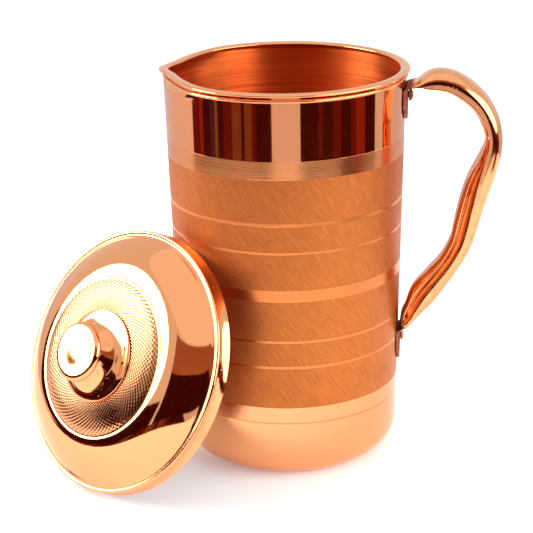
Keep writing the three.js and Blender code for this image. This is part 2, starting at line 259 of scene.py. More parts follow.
def turn(section, angles, shift=None):
    """Points and faces of a section turned about Z, and each face's row.

    A point on the axis becomes a pole.
    """
    count = len(angles)
    points = []
    rings = []
    for radius, z in section:
        if radius < 1e-6:
            rings.append([len(points)] * count)
            points.append((0.0, 0.0, z))
            continue
        rings.append(list(range(len(points), len(points) + count)))
        for angle in angles:
            r = radius + (shift(radius, z, angle) if shift else 0.0)
            points.append((r * math.cos(angle), r * math.sin(angle), z))
    faces = []
    rows = []
    for row, (low, high) in enumerate(zip(rings, rings[1:])):
        for i in range(count):
            j = (i + 1) % count
            corners = [low[i], low[j], high[j], high[i]]
            face = [c for k, c in enumerate(corners) if c != corners[k - 1]]
            if len(face) > 2:
                faces.append(face)
                rows.append(row)
    return points, faces, rows


def arc(centre_r, centre_z, half_r, half_z, start, end, steps):
    """Part of an ellipse in the section plane, from one angle to another in degrees."""
    points = []
    for i in range(steps + 1):
        a = math.radians(start + (end - start) * i / steps)
        points.append((centre_r + half_r * math.cos(a), centre_z + half_z * math.sin(a)))
    return points


def even_angles(count):
    return [2 * math.pi * i / count for i in range(count)]


def with_ends(spots):
    """The spots and one more past each end, which a curve through all of them needs."""
    return [2 * spots[0] - spots[1]] + spots + [2 * spots[-1] - spots[-2]]


def smooth_curve(knots, steps):
    """Section points on a smooth curve through the knots."""
    spots = [Vector(k) for k in knots]
    ends = with_ends(spots)
    points = []
    for i in range(len(spots) - 1):
        for k in range(steps):
            points.append(tuple(cubic(*ends[i : i + 4], k / steps)))
    points.append(tuple(spots[-1]))
    return points


def cubic(a, b, c, d, t):
    """Uniform Catmull-Rom point between b and c."""
    return 0.5 * (
        2 * b + (c - a) * t + (2 * a - 5 * b + 4 * c - d) * t**2 + (3 * b - a - 3 * c + d) * t**3
    )


def dent(obj, size, depth):
    """Small uneven hammer marks: moves each point along its normal."""
    mesh = obj.data
    moved = [
        v.co + v.normal * depth * MM * noise.noise(v.co / (size * MM)) for v in mesh.vertices
    ]
    for vertex, spot in zip(mesh.vertices, moved):
        vertex.co = spot


# ---- Materials ----


class Nodes:
    """A short way to write a metal's node tree."""

    def __init__(self, name, color, roughness, frame=None):
        self.material = bpy.data.materials.new(name)
        self.material.use_nodes = True
        self.tree = self.material.node_tree
        self.bsdf = self.tree.nodes["Principled BSDF"]
        self.bsdf.inputs["Metallic"].default_value = 1.0
        self.bsdf.inputs["Base Color"].default_value = (*color, 1)
        self.bsdf.inputs["Roughness"].default_value = roughness
        coords = self.tree.nodes.new("ShaderNodeTexCoord")
        spot = coords.outputs["Object"]
        if frame:
            spot = self.in_frame(spot, frame)
        self.place = self.in_millimetres(spot)
        parts = self.tree.nodes.new("ShaderNodeSeparateXYZ")
        self.link(self.place, parts.inputs[0])
        self.x, self.y, self.z = parts.outputs

    def in_frame(self, spot, frame):
        """The same place, measured in a piece's own frame."""
        node = self.tree.nodes.new("ShaderNodeMapping")
        node.vector_type = "TEXTURE"
        node.inputs["Location"].default_value = frame.to_translation()
        node.inputs["Rotation"].default_value = frame.to_euler()
        self.link(spot, node.inputs["Vector"])
        return node.outputs[0]

    def in_millimetres(self, spot):
        node = self.tree.nodes.new("ShaderNodeVectorMath")
        node.operation = "SCALE"
        self.link(spot, node.inputs[0])
        node.inputs["Scale"].default_value = 1 / MM
        return node.outputs[0]

    def link(self, source, target):
        """Joins a socket to a target socket, or sets the target to a number."""
        if isinstance(source, (int, float)):
            target.default_value = source
        else:
            self.tree.links.new(source, target)

    def math(self, operation, a, b=0.0, c=0.0, clamp=False):
        node = self.tree.nodes.new("ShaderNodeMath")
        node.operation = operation
        node.use_clamp = clamp
        for socket, value in zip(node.inputs, (a, b, c)):
            self.link(value, socket)
        return node.outputs[0]

    def vector(self, x, y, z=0.0):
        node = self.tree.nodes.new("ShaderNodeCombineXYZ")
        for socket, value in zip(node.inputs, (x, y, z)):
            self.link(value, socket)
        return node.outputs[0]

    def noise(self, vector, scale, detail=2.0, rough=0.5):
        node = self.tree.nodes.new("ShaderNodeTexNoise")
        self.link(vector, node.inputs["Vector"])
        node.inputs["Scale"].default_value = scale
        node.inputs["Detail"].default_value = detail
        node.inputs["Roughness"].default_value = rough
        return node.outputs["Fac"]

    def spread(self, value, low, high, to_low, to_high):
        """The value, stretched from one range to another and held inside it."""
        node = self.tree.nodes.new("ShaderNodeMapRange")
        self.link(value, node.inputs["Value"])
        for key, number in zip(
            ("From Min", "From Max", "To Min", "To Max"), (low, high, to_low, to_high)
        ):
            self.link(number, node.inputs[key])
        return node.outputs["Result"]

    def near(self, value, centre, half):
        """1 where the value is within half of centre, else 0."""
        return self.math("COMPARE", value, centre, half)

    def mix(self, share, a, b):
        """a where share is 0, b where it is 1."""
        return self.math("MULTIPLY_ADD", share, self.math("SUBTRACT", b, a), a)

    def mix_color(self, share, a, b):
        node = self.tree.nodes.new("ShaderNodeMix")
        node.data_type = "RGBA"
        self.link(share, node.inputs["Factor"])
        for key, value in (("A", a), ("B", b)):
            socket = [s for s in node.inputs if s.name == key and s.type == "RGBA"][0]
            if isinstance(value, tuple):
                socket.default_value = (*value, 1)
            else:
                self.link(value, socket)
        return [s for s in node.outputs if s.type == "RGBA"][0]

    def color(self, source):
        self.link(source, self.bsdf.inputs["Base Color"])

    def roughness(self, source):
        self.link(source, self.bsdf.inputs["Roughness"])

    def bump(self, height, depth):
        """Bump from a height in 0 to 1, depth millimetres deep."""
        node = self.tree.nodes.new("ShaderNodeBump")
        node.inputs["Distance"].default_value = depth * MM
        self.link(height, node.inputs["Height"])
        self.link(node.outputs[0], self.bsdf.inputs["Normal"])

    def brushed(self, amount):
        """Fine turning marks round Z, which draw highlights out across the marks."""
        quarter_turn = 0.25
        self.bsdf.inputs["Anisotropic"].default_value = amount
        self.bsdf.inputs["Anisotropic Rotation"].default_value = quarter_turn
        node = self.tree.nodes.new("ShaderNodeTangent")
        node.direction_type = "RADIAL"
        node.axis = "Z"
        self.link(node.outputs[0], self.bsdf.inputs["Tangent"])

    def polar(self):
        """Radius and angle about Z. The angle's seam is at +X."""
        squares = self.math("ADD", self.square(self.x), self.square(self.y))
        radius = self.math("POWER", squares, 0.5)
        flip_x = self.math("MULTIPLY", self.x, -1.0)
        flip_y = self.math("MULTIPLY", self.y, -1.0)
        return radius, self.math("ARCTAN2", flip_y, flip_x)

    def square(self, value):
        return self.math("MULTIPLY", value, value)

    def streaks(self, u, v, degrees, fine, long, detail=2.0):
        """Noise drawn out into straight scratches: fine across, long along."""
        a = math.radians(degrees)
        along = self.math(
            "MULTIPLY_ADD", u, math.cos(a), self.math("MULTIPLY", v, math.sin(a))
        )
        across = self.math(
            "MULTIPLY_ADD", u, -math.sin(a), self.math("MULTIPLY", v, math.cos(a))
        )
        spot = self.vector(
            self.math("MULTIPLY", along, 1 / long), self.math("MULTIPLY", across, 1 / fine)
        )
        return self.noise(spot, 1.0, detail, 0.6)


def tone(color, amount):
    return tuple(c * amount for c in color)


def outside_copper():
    """Turned and polished bands up the wall, with a cross-scratched matt middle."""
    n = Nodes("jug_outside", COPPER, 0.05)
    _, angle = n.polar()
    u = n.math("MULTIPLY", angle, UNROLL_R)
    body = n.near(n.z, *MATT_BAND)
    lines = n.near(n.z, *SATIN_LINES[0])
    for line in SATIN_LINES[1:]:
        lines = n.math("MAXIMUM", lines, n.near(n.z, *line))
    matt = n.math("MULTIPLY", body, n.math("SUBTRACT", 1.0, lines), clamp=True)
    upper_lathe = n.near(n.z, *UPPER_LATHE_BAND)
    lathe = n.math("MAXIMUM", upper_lathe, n.near(n.z, *LOWER_LATHE_BAND))
    steep = n.streaks(u, n.z, -56, 0.34, 9.0, 1.5)
    steep_wide = n.streaks(u, n.z, -53, 1.0, 16.0, 1.0)
    cross = n.streaks(u, n.z, 40, 0.34, 7.0, 1.5)
    rings = n.noise(n.vector(0.0, 0.0, n.math("MULTIPLY", n.z, 2.6)), 1.0, 3.0, 0.7)
    clouds = n.noise(n.place, 0.03, 3.0, 0.5)
    scratch = n.math(
        "MULTIPLY_ADD", steep_wide, 0.25, n.math("MULTIPLY_ADD", cross, 0.4, steep)
    )
    handled = n.noise(n.place, 0.09, 4.0, 0.6)
    wiped = n.spread(n.streaks(u, n.z, 2, 0.3, 9.0), 0.45, 0.75, 0.0, 0.045)
    smooth = n.math("ADD", n.spread(handled, 0.35, 0.75, 0.035, 0.075), wiped)
    turned = n.spread(rings, 0.3, 0.7, 0.15, 0.24)
    rough = n.mix(lathe, smooth, turned)
    rough = n.mix(lines, rough, 0.3)
    n.roughness(n.mix(matt, rough, n.spread(clouds, 0.3, 0.7, 0.43, 0.53)))
    height = n.math("MULTIPLY", matt, scratch)
    height = n.math("MULTIPLY_ADD", lathe, n.math("MULTIPLY", rings, 0.3), height)
    n.bump(height, 0.11)
    # the scratches are real wear; lightening them in the base colour is a painted glint
    light = n.spread(scratch, 0.66, 1.0, 0.0, 1.0)
    scratch_glint_tone = n.mix_color(light, tone(MATT, 0.82), tone(MATT, 1.18))
    plain = n.mix_color(clouds, tone(COPPER, 0.97), COPPER)
    dulled = n.math("MAXIMUM", lines, n.math("MULTIPLY", upper_lathe, 0.45))
    plain = n.mix_color(dulled, plain, SATIN)
    plain = n.mix_color(n.near(n.z, *THIN_LINE), plain, tone(SATIN, 0.85))
    n.color(n.mix_color(matt, plain, scratch_glint_tone))
    return n.material


def inside_copper():
    """Satin inside with fine lathe lines, on a deep red base colour that is painted shade and red
    inter-reflection of the hollow.
    """
    n = Nodes("jug_inside", COPPER, 0.25)
    radius, angle = n.polar()
    height = n.math("ADD", n.z, n.math("MULTIPLY", radius, 0.8))
    rings = n.noise(n.vector(0.0, 0.0, n.math("MULTIPLY", height, 0.6)), 1.0, 4.0, 0.75)
    sweep = n.noise(
        n.vector(n.math("COSINE", angle), n.math("SINE", angle), n.math("MULTIPLY", height, 0.5)),
        1.1, 3.0, 0.7,
    )
    grain = n.math("MULTIPLY_ADD", sweep, 0.5, rings)
    n.roughness(n.spread(grain, 0.45, 1.05, 0.3, 0.42))
    n.bump(grain, 0.1)
    n.brushed(0.8)
    # painted shade: the inside is coloured deep red rather than copper
    n.color(n.mix_color(n.spread(grain, 0.55, 0.95, 0.0, 1.0), tone(INSIDE_SHADE_RED, 0.6), INSIDE_SHADE_RED))
    return n.material


def haze_and_pits(n):
    haze = n.noise(n.place, 0.11, 4.0, 0.6)
    return haze, n.math("LESS_THAN", n.noise(n.place, 0.9, 1.0, 0.4), 0.27)


def polished_copper():
    """Hand-polished copper: faint wiping marks, pits and uneven gloss."""
    n = Nodes("polished_copper", COPPER, 0.04)
    haze, pit = haze_and_pits(n)
    wipe = n.streaks(n.x, n.z, 70, 0.4, 12.0, 3.0)
    gloss = n.spread(haze, 0.35, 0.72, 0.04, 0.12)
    n.roughness(n.math("MULTIPLY_ADD", pit, 0.3, gloss))
    height = n.math("MULTIPLY_ADD", wipe, 0.12, n.math("MULTIPLY", haze, 0.9))
    n.bump(n.math("SUBTRACT", height, n.math("MULTIPLY", pit, 0.6)), 0.012)
    dirt = n.math("MAXIMUM", n.spread(haze, 0.55, 0.85, 0.0, 0.5), n.math("MULTIPLY", pit, 0.7))
    n.color(n.mix_color(dirt, COPPER, tone(COPPER, 0.62)))
    return n.material


def handle_copper():
    """The handle's polish, with dull dark painted shade where its tabs lie on the wall."""
    n = Nodes("handle_finish", COPPER, 0.1)
    haze, pit = haze_and_pits(n)
    tab_shade = painted_tab_shade_mask(n)
    gloss = n.math("MULTIPLY_ADD", pit, 0.3, n.spread(haze, 0.35, 0.72, 0.07, 0.17))
    # painted shade on the tabs: a dark base colour, rougher and less metallic, in place of their
    # shadowed look
    n.roughness(n.mix(tab_shade, gloss, 0.45))
    n.bsdf.inputs["Specular IOR Level"].default_value = 0.0
    height = n.math("SUBTRACT", n.math("MULTIPLY", haze, 0.9), n.math("MULTIPLY", pit, 0.6))
    n.bump(height, 0.03)
    dirt = n.math("MAXIMUM", n.spread(haze, 0.5, 0.8, 0.0, 0.6), n.math("MULTIPLY", pit, 0.7))
    clean = n.mix_color(dirt, COPPER, tone(COPPER, 0.55))
    n.color(n.mix_color(tab_shade, clean, PAINTED_TAB_SHADE))
    n.link(n.math("MULTIPLY_ADD", tab_shade, -0.8, 1.0), n.bsdf.inputs["Metallic"])
    return n.material


def painted_tab_shade_mask(n):
    """How much painted shade the handle takes: patchily on the tabs against the wall, 0 on the
    grip.
    """
    above = n.spread(n.z, TABS_PART_Z, TABS_PART_Z + 1, 0, 1)
    below = n.spread(n.z, TABS_PART_Z, TABS_PART_Z + 1, 1, 0)
    upper = n.math("MULTIPLY", n.spread(n.x, 57.6, 59.4, 1.0, 0.0), above)
    lower = n.math("MULTIPLY", n.spread(n.x, 53.6, 55.4, 1.0, 0.0), below)
    patchy = n.spread(n.noise(n.place, 0.35, 3.0, 0.6), 0.3, 0.7, 1.0, 0.7)
    return n.math("MULTIPLY", n.math("MAXIMUM", upper, lower), patchy, clamp=True)


def lid_copper(frame):
    """Mirror polish with an engine-turned ring of crossing curved cuts, darkened in the base
    colour as painted shade.
    """
    n = Nodes("lid_turned", COPPER, 0.05, frame)
    radius, angle = n.polar()
    topside = n.math("GREATER_THAN", n.z, TURNED_RING_LOW_H)
    ring = n.math("MULTIPLY", n.near(radius, *TURNED_RING), topside)
    outwards = n.math("LOGARITHM", n.math("DIVIDE", radius, RING_R), math.e)
    bend = n.math("MULTIPLY", outwards, TURNED_BEND)
    leaf = n.math("SINE", n.math("MULTIPLY", n.math("ADD", angle, bend), TURNED_CUTS))
    back = n.math("SINE", n.math("MULTIPLY", n.math("SUBTRACT", angle, bend), TURNED_CUTS))
    cut = n.spread(n.math("MULTIPLY_ADD", back, 0.16, leaf), -1.1, 1.1, 0.0, 1.0)
    haze = n.noise(n.place, 0.1, 4.0, 0.6)
    rings = n.noise(n.vector(0.0, 0.0, n.math("MULTIPLY", radius, 2.0)), 1.0, 2.0, 0.6)
    gloss = n.spread(haze, 0.35, 0.72, 0.03, 0.085)
    n.roughness(n.mix(ring, gloss, 0.1))
    fine = n.math("MULTIPLY_ADD", rings, 0.04, n.math("MULTIPLY", haze, 0.08))
    n.bump(n.math("MULTIPLY", n.math("MULTIPLY_ADD", ring, cut, fine), 0.6), 0.2)
    # painted shade: the ring's cuts are darkened in the base colour
    shade = n.math("MULTIPLY", ring, n.spread(cut, 0.15, 0.85, 1.0, 0.0))
    n.color(n.mix_color(shade, COPPER, tone(COPPER, 0.5)))
    return n.material


def under_copper(frame):
    """Unpolished underside of the lid, with coarse turning marks, coloured near-black red as
    painted shade.
    """
    n = Nodes("lid_underside", SATIN, 0.4, frame)
    radius, _ = n.polar()
    rings = n.noise(n.vector(0.0, 0.0, n.math("MULTIPLY", radius, 1.3)), 1.0, 4.0, 0.7)
    haze = n.noise(n.place, 0.07, 4.0, 0.6)
    n.roughness(n.spread(rings, 0.3, 0.7, 0.3, 0.48))
    n.bump(n.math("MULTIPLY_ADD", haze, 0.6, rings), 0.1)
    # painted shade: the underside's base colour is darkened to near black-red
    n.color(n.mix_color(haze, (0.2, 0.022, 0.005), (0.4, 0.06, 0.013)))
    return n.material


def dull_copper():
    """Unpolished copper of the hidden washers and the knob's pin, browned with age."""
    n = Nodes("dull_copper", COPPER, 0.35)
    haze = n.noise(n.place, 0.6, 5.0, 0.6)
    n.roughness(n.spread(haze, 0.3, 0.7, 0.25, 0.5))
    n.bump(haze, 0.08)
    n.color(n.mix_color(haze, (0.42, 0.15, 0.06), (0.78, 0.32, 0.13)))
    return n.material


# ---- Jug body ----


def lip_shift(degrees):
    """How far the lip moves the rim outwards, at degrees from the beak's middle."""
    off = abs(degrees)
    tip = LIP_TIP_OUT * math.exp(-((off / LIP_TIP_SPREAD) ** 2))
    deepens = smoothstep(off, 0, LIP_PINCH_FULL)
    eases = smoothstep(off, LIP_PINCH_EASES, LIP_PINCH_ENDS)
    return tip - LIP_PINCH * deepens * (1 - eases)


def lip_angles():
    """Angles round the jug, crowded towards the beak."""
    angles = []
    for i in range(JUG_AROUND):
        even = 2 * math.pi * i / JUG_AROUND - math.pi
        angles.append(even - LIP_CROWD * math.sin(even) + math.radians(LIP_ANGLE))
    return angles


def press_lip(radius, z, angle):
    """How far the lip moves a point of the turned jug outwards."""
    off = math.degrees(angle) - LIP_ANGLE
    off = (off + 180) % 360 - 180
    shift = lip_shift(off) * smoothstep(z, LIP_FOOT_Z, RIM_Z - 1)
    if abs(z - RIDGE_Z) < RIDGE_HALF:
        proud = min(max((radius - wall_radius(z)) / RIDGE_OUT, 0.0), 1.0)
        flat = 1 - smoothstep(abs(off), LIP_RIDGE_FULL, LIP_RIDGE_ENDS)
        shift -= RIDGE_OUT * LIP_RIDGE_SHARE * proud * flat
    return shift


def jug_section():
    """The section's three parts: outside from the base up, rolled rim, and down the inside."""
    centre_r = WALL_LOW_R - CORNER_R
    outside = [(0, 0), (20, 0), (34, 0)]
    outside += arc(centre_r, CORNER_R, CORNER_R, CORNER_R, -90, -1.5, 18)
    outside += [(wall_radius(z), z) for z in (24, 40, 60, 80, 100, 120, 140, 155, 165)]
    outside += [(wall_radius(z), z) for z in (171, 173, 175, 176.5, 177.8)]
    ridge = wall_radius(RIDGE_Z)
    outside += arc(ridge - 0.02, RIDGE_Z, RIDGE_OUT, RIDGE_HALF, -90, 90, 10)
    outside += [(ridge - 0.05, 181.0), (ridge - 0.05, 181.5)]
    mid = (RIM_IN_R + RIM_OUT_R) / 2
    span = (RIM_OUT_R - RIM_IN_R) / 2
    rim = arc(mid, RIM_Z, span, RIM_HALF, -62, 205, 30)
    inside = [(wall_radius(z) - SHEET, z) for z in (180.6, 179, 177, 175, 173, 171, 165)]
    inside += [(wall_radius(z) - SHEET, z) for z in (150, 130, 110, 90, 70, 50, 30)]
    radius = CORNER_R - SHEET
    inside += arc(centre_r, CORNER_R, radius, radius, -1.5, -88.5, 18)
    inside += [(32, SHEET), (20, SHEET), (0, SHEET)]
    return outside, rim, inside


def jug_body():
    outside, rim, inside = jug_section()
    section = outside + rim + inside
    points, faces, rows = turn(section, lip_angles(), press_lip)
    first_inside = len(outside) + len(rim) - RIM_ROWS_INSIDE
    slots = [1 if row >= first_inside else 0 for row in rows]
    body = make_mesh("jug_wall", points, faces, [outside_copper(), inside_copper()], slots)
    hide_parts("jug_body")
    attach(body, "jug")


# ---- Handle ----


def station_value(t, column):
    """A station's column at a share of the way down the grip."""
    place = t * (len(GRIP_STATIONS) - 1)
    low = min(int(place), len(GRIP_STATIONS) - 2)
    share = place - low
    return GRIP_STATIONS[low][column] * (1 - share) + GRIP_STATIONS[low + 1][column] * share


def grip_point(t):
    """Middle of the grip and its thickness at a share of the way down."""
    spots = [Vector(s[:3]) for s in GRIP_STATIONS]
    place = t * (len(spots) - 1)
    low = min(int(place), len(spots) - 2)
    return cubic(*with_ends(spots)[low : low + 4], place - low)


def grip_frames():
    """Rows down the grip: where it is, which way is out, and its sizes there."""
    count = (len(GRIP_STATIONS) - 1) * ROWS_PER_STATION
    frames = []
    for i in range(count + 1):
        t = i / count
        spot = grip_point(t)
        ahead = grip_point(min(1, t + 0.01))
        behind = grip_point(max(0, t - 0.01))
        along = Vector((ahead.x - behind.x, ahead.y - behind.y)).normalized()
        frames.append(
            {
                "x": spot.x,
                "z": spot.y,
                "nx": -along.y,
                "nz": along.x,
                "thick": spot.z,
                "half": station_value(t, 3) / 2,
                "seam": station_value(t, 4),
                "hug": 0,
                "t": t,
            }
        )
    return frames


def tab_row(z, width):
    """A row of a tab that lies round the wall."""
    lift = wall_radius(z) + GAP
    return {"x": lift, "z": z, "nx": 1, "nz": 0, "half": width / 2, "rise": STRAP, "hug": 1}


def tab_rows(root, tip, width):
    """Rows from a tab's root to its rounded tip, closer together near the tip."""
    rows = []
    for i in range(TAB_STEPS + 1):
        z = tip + (1 - i / TAB_STEPS) ** TAB_CROWD * (root - tip)
        off = 1 - min((z - tip) / TAB_ROUND, 1)
        rows.append(tab_row(z, max(TAB_TIP_WIDTH, width * math.sqrt(1 - off * off))))
    return rows


def arch(half, rise, crease):
    """Half-round sheet across the handle, with an optional groove pressed in each side."""
    points = []
    for i in range(ARCH_STEPS + 1):
        a = math.pi * i / ARCH_STEPS
        y = half * math.copysign(abs(math.cos(a)) ** ARCH_ACROSS, math.cos(a))
        n = rise * max(math.sin(a), 0.0) ** ARCH_UP
        groove = math.exp(-(((n / max(rise, 0.01) - GROOVE_AT) / GROOVE_WIDTH) ** 2))
        points.append((y * (1 - crease * groove), n))
    return points


def shell_ring(row, side):
    """One closed ring of a bent sheet: the outer skin one way and the inner skin back."""
    crease = row.get("crease", 0.0)
    outer = arch(row["half"], row["rise"], crease)
    inner = arch(row["half"] - STRAP, row["rise"] - STRAP, crease)[::-1]
    ring = []
    for y, n in outer + inner:
        n = max(n, 0.0)
        hug = row["hug"] * y * y / (2 * row["x"])
        x = row["x"] + row["nx"] * n * side - hug
        ring.append((x, y, row["z"] + row["nz"] * n * side))
    return ring


def loft(name, rings, materials):
    """A solid sheet through closed rings, capped at both ends."""
    count = len(rings[0])
    points = [p for ring in rings for p in ring]
    faces = []
    for i in range(len(rings) - 1):
        for j in range(count):
            k = (j + 1) % count
            faces.append((i * count + j, i * count + k, (i + 1) * count + k, (i + 1) * count + j))
    last = (len(rings) - 1) * count
    for j in range(count // 2 - 1):
        other = count - 1 - j
        faces.append((j + 1, j, other, other - 1))
        faces.append((last + j, last + j + 1, last + other - 1, last + other))
    obj = make_mesh(name, points, faces, materials, sharp=50)
    face_out(obj)
    return obj


def face_out(obj):
    """Turns a closed mesh's faces outward."""
    work = bmesh.new()
    work.from_mesh(obj.data)
    bmesh.ops.recalc_face_normals(work, faces=work.faces)
    work.to_mesh(obj.data)
    work.free()


def outer_shell(material):
    """Outer half of the handle, with a tab at each end and a bend into the upper one."""
    body = []
    for f in grip_frames():
        low = f["thick"] * (f["seam"] - 0.5) + GAP / 2
        row = dict(f, x=f["x"] + f["nx"] * low, z=f["z"] + f["nz"] * low)
        row["rise"] = f["thick"] / 2 - low
        body.append(row)
    bend = {
        "x": wall_radius(175.2) + 0.6, "z": 175.1, "nx": 0.75, "nz": 0.66,
        "half": 9.2, "rise": 1.05, "hug": 0.7,
    }
    upper = tab_rows(UPPER_TAB_ROOT_Z, UPPER_TAB_TIP_Z, UPPER_TAB_WIDTH)[::-1]
    lower = tab_rows(LOWER_TAB_ROOT_Z, LOWER_TAB_TIP_Z, LOWER_TAB_WIDTH)
    rings = [shell_ring(r, 1) for r in upper + [bend] + body + lower]
    shell = loft("handle_shell", rings, [material])
    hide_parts("handle_outer_shell")
    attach(shell, "jug")


def grip_plate(material):
    """Inner half of the handle, with its finger grooves."""
    rings = []
    for f in grip_frames()[PLATE_FIRST_STATION * ROWS_PER_STATION :]:
        high = f["thick"] * (f["seam"] - 0.5) - GAP / 2
        row = dict(f, x=f["x"] + f["nx"] * high, z=f["z"] + f["nz"] * high)
        row["rise"] = f["thick"] / 2 + high
        deep = smoothstep(f["t"], *GROOVE_BEGINS) * (1 - smoothstep(f["t"], *GROOVE_ENDS))
        row["crease"] = GROOVE_DEPTH * deep
        rings.append(shell_ring(row, -1))
    plate = loft("grip_plate", rings, [material])
    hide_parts("handle_grip_plate")
    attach(plate, "jug")


# ---- Turned pieces and rivets ----


def turned_piece(name, node, section, around, metals, frame, body, start=None, sharp=40):
    """A turned piece on a CAD body. Rows from start on take the second metal."""
    points, faces, rows = turn(section, even_angles(around))
    slots = None if start is None else [1 if row >= start else 0 for row in rows]
    piece = make_mesh(name, points, faces, metals, slots, sharp)
    face_out(piece)
    piece.data.transform(frame)
    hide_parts(node)
    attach(piece, body)
    return piece


def wall_frame(z):
    """A frame whose Z points out of the wall at the handle side."""
    turn_out = Matrix.Rotation(math.pi / 2, 4, "Y")
    return Matrix.Translation(Vector((wall_radius(z), 0, z)) * MM) @ turn_out


def rivet(name, node, z, size, metals):
    """A rivet from its peened end inside the wall to its domed head outside the tab."""
    head, height = size
    under = GAP + STRAP + GAP
    inner = -SHEET - GAP - WASHER - GAP
    section = [(0, inner - PEEN_H)]
    section += arc(PEEN_R - PEEN_H, inner - PEEN_H / 2, PEEN_H, PEEN_H / 2, -90, 60, 8)
    section += [(PEEN_R - 0.1, inner), (SHANK_R, inner), (SHANK_R, under)]
    section += [(head - HEAD_EDGE, under)]
    section += arc(0, under + HEAD_EDGE, head, height - HEAD_EDGE, 0, 88, 16)
    section += [(0, under + height)]
    piece = turned_piece(
        name, node, section, RIVET_AROUND, metals, wall_frame(z), "jug"
    )
    dent(piece, 1.7, 0.06)


def washer_section(hole, outer, face, edge):
    """A washer below a face. The corner at the face is cut off by the edge's length."""
    low = face - WASHER
    section = [(hole, low), (outer - 0.3, low), (outer, low + 0.2), (outer, face - edge)]
    return [*section, (outer - edge, face), (hole, face), (hole, low)]


def rivet_washer(name, node, z, metals):
    section = washer_section(WASHER_HOLE_R, WASHER_R, -SHEET - GAP, 0.15)
    turned_piece(
        name, node, section, RIVET_AROUND, metals, wall_frame(z), "jug"
    )


# ---- Lid ----


def lid_frame():
    """A frame at the lid's centre whose Z points out along its knob."""
    turn_round = math.radians(LID_FACES)
    lean = math.radians(LID_LEANS_BACK)
    axis = Vector(
        (
            math.cos(turn_round) * math.cos(lean),
            math.sin(turn_round) * math.cos(lean),
            math.sin(lean),
        )
    )
    tilt = Vector((0, 0, 1)).rotation_difference(axis)
    return Matrix.Translation(Vector(LID_CENTRE) * MM) @ tilt.to_matrix().to_4x4()


def shoulder(offset, steps):
    """The dome's curve from the edge bead up to the crease, moved up by the offset."""
    points = []
    for i in range(steps + 1):
        u = i / steps
        r = SHOULDER_R + (CREASE_R - SHOULDER_R) * u
        h = 1 + (CREASE_H - 1) * math.sin(u * math.pi / 2) ** 0.85
        points.append((r, h + offset))
    return points


def lid_section():
    """Closed section of the lid's sheet, from the edge bead up to the middle and back,
    and the row where its underside begins."""
    bead = [(BEAD_R - 2.2, -BEAD_HALF)]
    bead += arc(BEAD_R - 0.9, 0, 0.9, 0.88, -90, 105, 16)
    bead += [(BEAD_R - 1.45, 0.66), (BEAD_R - 1.8, 0.6), (BEAD_R - 2.3, 0.72)]
    top = shoulder(0, 30)
    top += [(CREASE_R - 0.5, CREASE_H - 0.06), (CREASE_R - 1.0, CREASE_H - 0.1)]
    top += [(CREASE_R - 1.6, CREASE_H + 0.03), (CREASE_R - 2.2, CREASE_H + 0.25)]
    top += smooth_curve([(33, CREASE_H + 0.85), (29, CREASE_H + 1.6), (25, CREASE_H + 2.1)], 5)
    top += [(RING_R, RING_H - 0.9), (12, RING_H - 0.9), (STUD_HOLE_R, RING_H - 0.9)]
    under = [(r, h - SHEET) for r, h in top[::-1] if r < CREASE_R + 0.1]
    under += shoulder(-SHEET, 30)[-2::-1]
    under += [(SHOULDER_R + 0.4, -BEAD_HALF), bead[0]]
    return bead + top + under, len(bead) + len(top) - 1


def band_section():
    """Closed section of the lid's skirt band, and the row where its inside begins."""
    top = -BEAD_HALF - GAP
    band = smooth_curve(
        [(BAND_LOW_R, -BAND_DEPTH + 0.1), (59.85, -4.4), (59.6, -2.8), (BAND_TOP_R - 0.1, top)], 6
    )
    inner = [(r - SHEET, h) for r, h in band[::-1]]
    return [*band, *inner, band[0]], len(band)


def foot_section():
    """Closed section of the knob's trumpet-shaped foot."""
    outside = [(RING_R - SHEET, RING_H - 0.6)]
    outside += arc(RING_R - 0.35, RING_H - 0.2, 0.35, 0.4, -80, 80, 8)
    outside += smooth_curve(
        [(19.6, RING_H + 0.45), (17, RING_H + 0.9), (13.2, RING_H + 2.2), (10.4, RING_H + 4.3),
         (NECK_R, NECK_H - 0.05)], 8,
    )
    inside = [(STUD_HOLE_R, NECK_H - 0.05), (STUD_HOLE_R, NECK_H - SHEET)]
    inside += [(NECK_R - SHEET, NECK_H - SHEET)]
    inside += [(10.4 - SHEET, RING_H + 3.9), (13.2 - SHEET, RING_H + 1.6)]
    inside += [(17 - SHEET * 0.5, RING_H + 0.1), (RING_R - SHEET, RING_H - 0.6)]
    return outside + inside


def cap_section():
    """Closed section of the knob's hollow button."""
    low = NECK_H + GAP
    outside = [(STUD_HOLE_R, low), (8.6, low)]
    outside += smooth_curve(
        [(9.2, low + 0.05), (10.2, low + 0.9), (12.2, low + 1.8), (CAP_R - 0.15, low + 3.1)], 6
    )
    outside += arc(CAP_R - 2.0, CAP_TOP_H - 2.1, 2.0, 2.08, -6, 84, 16)
    outside += smooth_curve(
        [(CAP_R - 2.6, CAP_TOP_H - 0.02), (7, CAP_TOP_H - 0.1), (3, CAP_TOP_H - 0.02)], 5
    )
    inside = [(0, CAP_TOP_H), (0, CAP_TOP_H - SHEET), (CAP_R - 3.2, CAP_TOP_H - 0.95)]
    inside += [(CAP_R - 1.6, CAP_TOP_H - 2.2), (11.4, low + 2.5)]
    inside += [(9.3, low + 1.7), (8.6, low + SHEET), (STUD_HOLE_R, low + SHEET)]
    return [*outside, *inside, (STUD_HOLE_R, low)]


def stud_section(cover_low):
    """Section of the pin through the knob, from its peened end below the cover up."""
    under = cover_low - GAP - WASHER - GAP
    high = NECK_H + GAP + SHEET + GAP
    section = [(0, under - 1.2), (2.6, under - 1.2)]
    section += arc(2.9, under - 0.5, 0.7, 0.7, -90, 0, 6)
    section += [(3.6, under), (STUD_R, under), (STUD_R, high), (3.4, high)]
    return [*section, (3.2, high + 0.8), (0, high + 1.1)]


